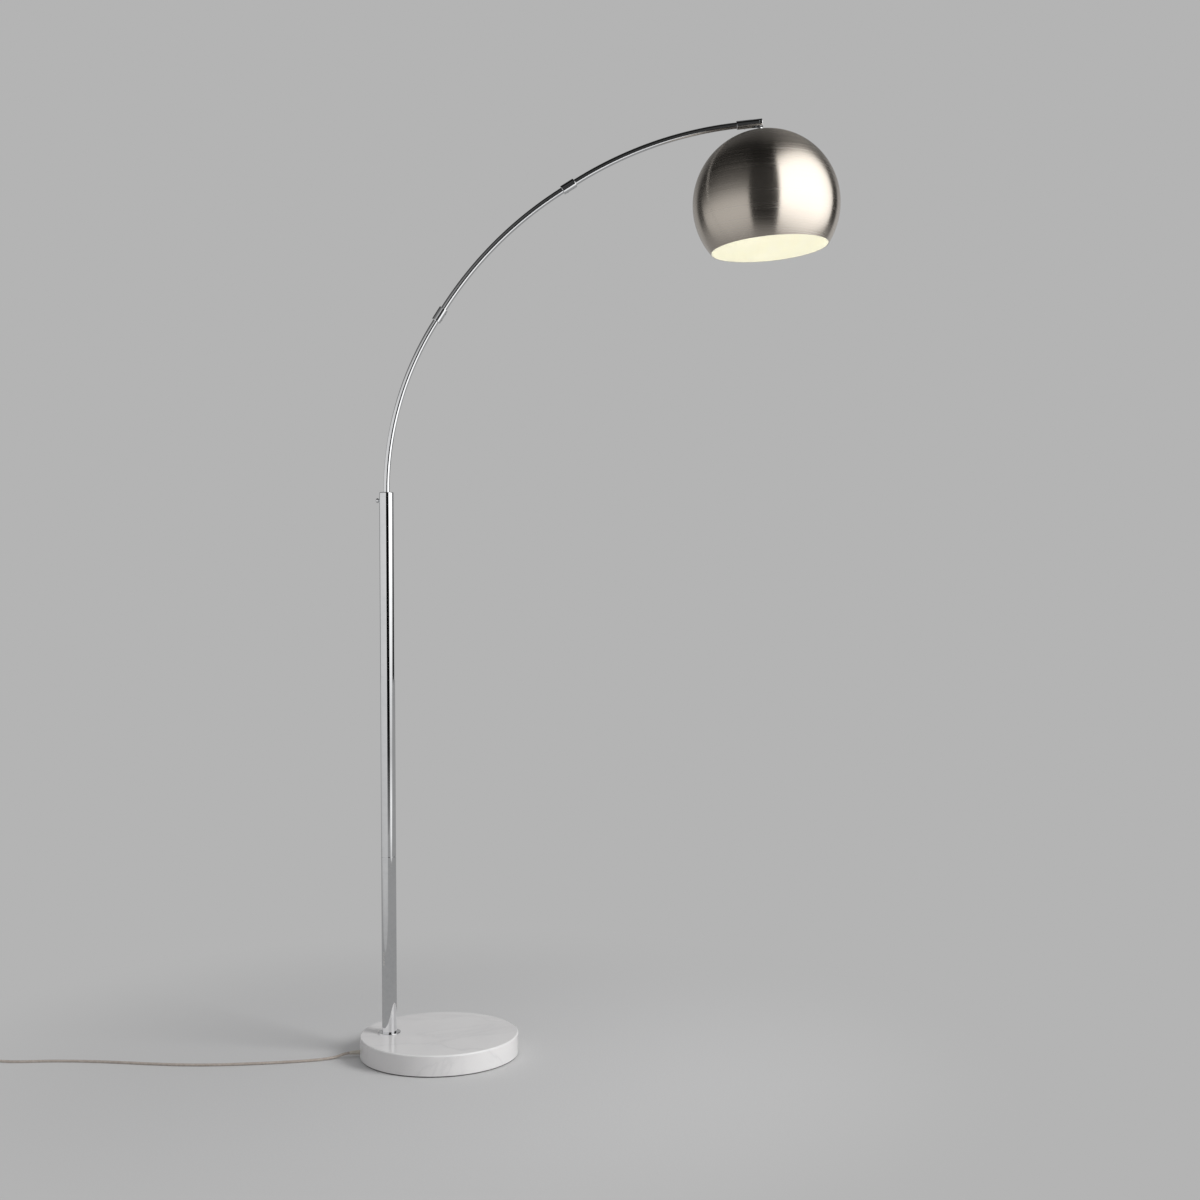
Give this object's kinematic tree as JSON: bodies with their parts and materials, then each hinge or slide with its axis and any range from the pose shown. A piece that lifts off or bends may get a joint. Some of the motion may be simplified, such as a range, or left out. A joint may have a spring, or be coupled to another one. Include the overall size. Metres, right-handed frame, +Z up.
{
  "type": "arc floor lamp",
  "caption": "Arc floor lamp with a round marble base, an off-centre chrome pole, a slim bowed arm in three lengths and a tilting brushed ball shade with a foot-switched cord.",
  "frame": {"origin": "centre of the underside of the round base, on the floor", "axes": "+Z up, +X from the base's centre towards the shade at rest, +Y away from the side that shows the clamping screw on the left"},
  "size_m": [1.7122, 0.312, 1.7752],
  "materials": {
    "marble": "polished white marble with faint grey veins",
    "felt": "pressed felt",
    "chrome": "mirror chrome plate on steel",
    "zinc_steel": "zinc plated steel",
    "nylon": "natural nylon",
    "satin_nickel": "satin nickel, brushed in rings, cream enamel inside",
    "clear_flex": "clear PVC over tinned cores",
    "core_wire": "insulated core",
    "switch_plastic": "glossy moulded, off-white",
    "contact_block": "moulded, black",
    "tie_wrap": "hook-and-loop strip",
    "brass": "bright brass",
    "holder_plastic": "moulded, white",
    "porcelain": "unglazed porcelain",
    "bulb_metal": "rolled screw cap",
    "bulb_solder": "black glass insulator with a solder contact",
    "bulb_glass": "inside-frosted, lit"
  },
  "bodies": {
    "stand": {"marble_base": "marble", "base_pad": "felt", "base_ring": "chrome", "base_washer": "zinc_steel", "base_nut": "zinc_steel", "base_stud": "zinc_steel", "cord_relief": "clear_flex", "pole_foot": "zinc_steel", "pole_lower": "chrome", "pole_middle": "chrome", "pole_upper": "chrome", "pole_joiner_lower": "zinc_steel", "pole_joiner_upper": "zinc_steel", "pole_cap": "chrome", "neck_bush": "nylon", "pole_cable": "clear_flex", "cord": "clear_flex", "switch_base": "switch_plastic", "switch_cover": "switch_plastic", "switch_core": "contact_block", "switch_screws": "zinc_steel", "cord_tail": "clear_flex", "cord_coil": "clear_flex", "coil_tie": "tie_wrap", "cord_lead": "clear_flex", "plug_body": "switch_plastic", "plug_pins": "brass"},
    "slider": {"guide_bush": "nylon"},
    "arm": {"arm_lower": "chrome", "arm_middle": "chrome", "arm_upper": "chrome", "sleeve_lower": "chrome", "sleeve_upper": "chrome", "grub_screws": "zinc_steel", "shank_collar": "zinc_steel", "shank_clip": "zinc_steel", "head": "chrome", "tilt_pin": "chrome", "arm_cable": "clear_flex"},
    "shade": {"tongue": "chrome", "tilt_washers": "zinc_steel", "shade_collar": "chrome", "shade": "satin_nickel", "lock_nut": "zinc_steel", "holder_cap": "holder_plastic", "holder_skirt": "holder_plastic", "holder_core": "porcelain", "holder_thread": "brass", "holder_contact": "brass", "bulb_contact": "bulb_solder", "bulb_cap": "bulb_metal", "bulb_glass": "bulb_glass", "holder_wires": "core_wire"},
    "clamp_carrier": {"clamp_pad": "nylon"},
    "clamp": {"clamp_screw": "zinc_steel", "clamp_knob": "chrome"},
    "button": {"switch_button": "switch_plastic"}
  },
  "joints": [
    {"name": "arm_height", "type": "slide", "parent": "stand", "child": "slider", "axis": [0, 0, 1], "range_m": [0, 0.15]},
    {"name": "arm_swivel", "type": "hinge", "parent": "slider", "child": "arm", "pos_m": [-0.095, 0, 1.0688], "axis": [0, 0, 1], "range_deg": [-175, 175]},
    {"name": "shade_tilt", "type": "hinge", "parent": "arm", "child": "shade", "pos_m": [0.61922, 0, 1.76773], "axis": [0, 1, 0], "range_deg": [-60, 8]},
    {"name": "clamp_travel", "type": "slide", "parent": "stand", "child": "clamp_carrier", "axis": [-1, 0, 0], "range_m": [0, 0.0024]},
    {"name": "clamp_turn", "type": "hinge", "parent": "clamp_carrier", "child": "clamp", "pos_m": [-0.109, 0, 1.053], "axis": [-1, 0, 0], "range_deg": [0, 1085]},
    {"name": "switch_press", "type": "slide", "parent": "stand", "child": "button", "axis": [0, 0, -1], "range_m": [0, 0.0025], "stiffness_N_per_m": 600, "springref_m": -0.001}
  ],
  "couplings": [
    {"joint": "clamp_turn", "follows": "clamp_travel", "rad_per_m": 7854}
  ]
}
